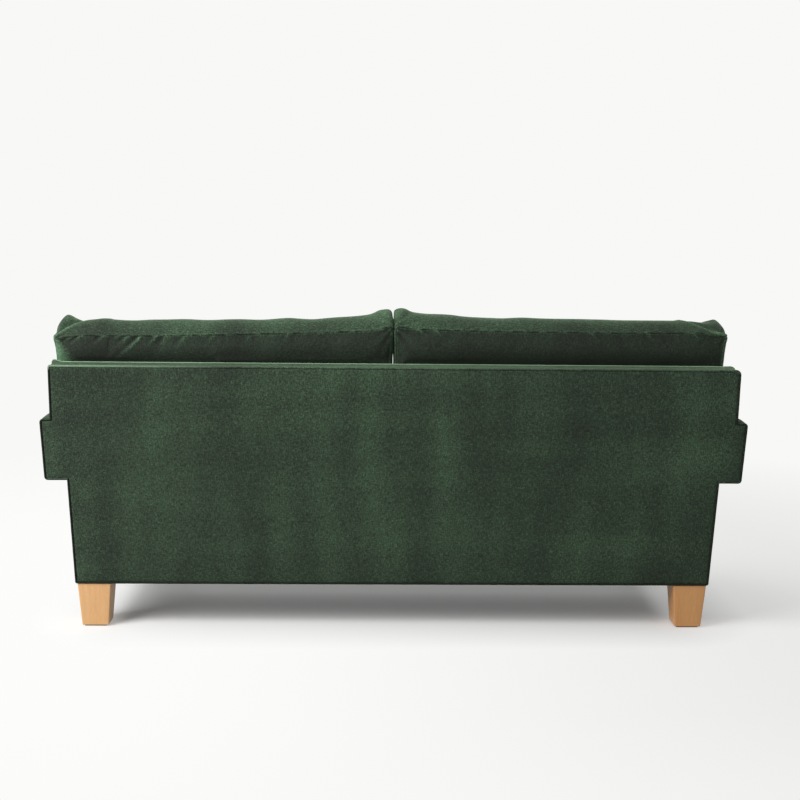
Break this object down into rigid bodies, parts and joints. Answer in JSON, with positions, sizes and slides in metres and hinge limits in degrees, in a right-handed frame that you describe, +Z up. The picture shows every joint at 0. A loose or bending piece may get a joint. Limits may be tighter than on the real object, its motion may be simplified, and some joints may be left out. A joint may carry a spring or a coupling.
{
  "type": "two-seat sofa",
  "caption": "Low upholstered sofa with square overhanging arms, a raked flat back, loose seat and back cushions and tapered wooden legs.",
  "frame": {"origin": "on the floor, under the middle of the sofa's overall box", "axes": "+X along the length towards the sitter's left arm, +Y from the front towards the back, +Z up"},
  "size_m": [1.9808, 0.965, 0.9183],
  "materials": {
    "velvet": "matte",
    "deck_cloth": "matte",
    "black_cloth": "matte",
    "jute": "matte",
    "beech": "satin",
    "frame_timber": "matte",
    "plywood": "matte",
    "spring_steel": "satin",
    "nylon": "matte"
  },
  "bodies": {
    "sofa_frame": {"arm_box_rail_left": "frame_timber", "arm_box_rail_right": "frame_timber", "arm_cover_left": "velvet", "arm_cover_right": "velvet", "arm_front_facing_left": "velvet", "arm_front_facing_right": "velvet", "arm_front_panel_left": "plywood", "arm_front_panel_right": "plywood", "arm_tack_rail_left": "frame_timber", "arm_tack_rail_right": "frame_timber", "arm_top_board_left": "plywood", "arm_top_board_right": "plywood", "back_bottom_rail": "frame_timber", "back_centre_upright": "plywood", "back_outer_upright_left": "frame_timber", "back_outer_upright_right": "frame_timber", "back_post_left": "plywood", "back_post_right": "plywood", "back_seat_rail": "frame_timber", "back_top_rail": "frame_timber", "back_webbing": "jute", "centre_stretcher": "frame_timber", "corner_block_front_left": "beech", "corner_block_front_right": "beech", "corner_block_rear_left": "beech", "corner_block_rear_right": "beech", "dust_cover": "black_cloth", "front_border_cover": "velvet", "front_clip_rail": "spring_steel", "front_rail": "frame_timber", "inside_back_cover": "velvet", "leg_bolt_front_left": "spring_steel", "leg_bolt_front_right": "spring_steel", "leg_bolt_rear_left": "spring_steel", "leg_bolt_rear_right": "spring_steel", "leg_front_left": "beech", "leg_front_right": "beech", "leg_glide_front_left": "nylon", "leg_glide_front_right": "nylon", "leg_glide_rear_left": "nylon", "leg_glide_rear_right": "nylon", "leg_rear_left": "beech", "leg_rear_right": "beech", "outside_back_panel": "velvet", "rear_clip_rail": "spring_steel", "seat_deck": "deck_cloth", "seat_spring_1": "spring_steel", "seat_spring_2": "spring_steel", "seat_spring_3": "spring_steel", "seat_spring_4": "spring_steel", "seat_spring_5": "spring_steel", "seat_spring_6": "spring_steel", "seat_spring_7": "spring_steel", "seat_spring_8": "spring_steel", "side_rail_left": "frame_timber", "side_rail_right": "frame_timber"},
    "loose_seat_cushion_left": {"seat_cushion_left": "velvet"},
    "loose_seat_cushion_right": {"seat_cushion_right": "velvet"},
    "loose_back_cushion_left": {"back_cushion_left": "velvet"},
    "loose_back_cushion_right": {"back_cushion_right": "velvet"}
  },
  "joints": [
    {"name": "seat_cushion_left_pulls_out", "type": "slide", "parent": "sofa_frame", "child": "loose_seat_cushion_left", "axis": [0, -1, 0], "range_m": [0, 0.8]},
    {"name": "seat_cushion_right_pulls_out", "type": "slide", "parent": "sofa_frame", "child": "loose_seat_cushion_right", "axis": [0, -1, 0], "range_m": [0, 0.8]},
    {"name": "back_cushion_left_lifts_off", "type": "slide", "parent": "sofa_frame", "child": "loose_back_cushion_left", "axis": [0, 0, 1], "range_m": [0, 0.5]},
    {"name": "back_cushion_right_lifts_off", "type": "slide", "parent": "sofa_frame", "child": "loose_back_cushion_right", "axis": [0, 0, 1], "range_m": [0, 0.5]}
  ]
}
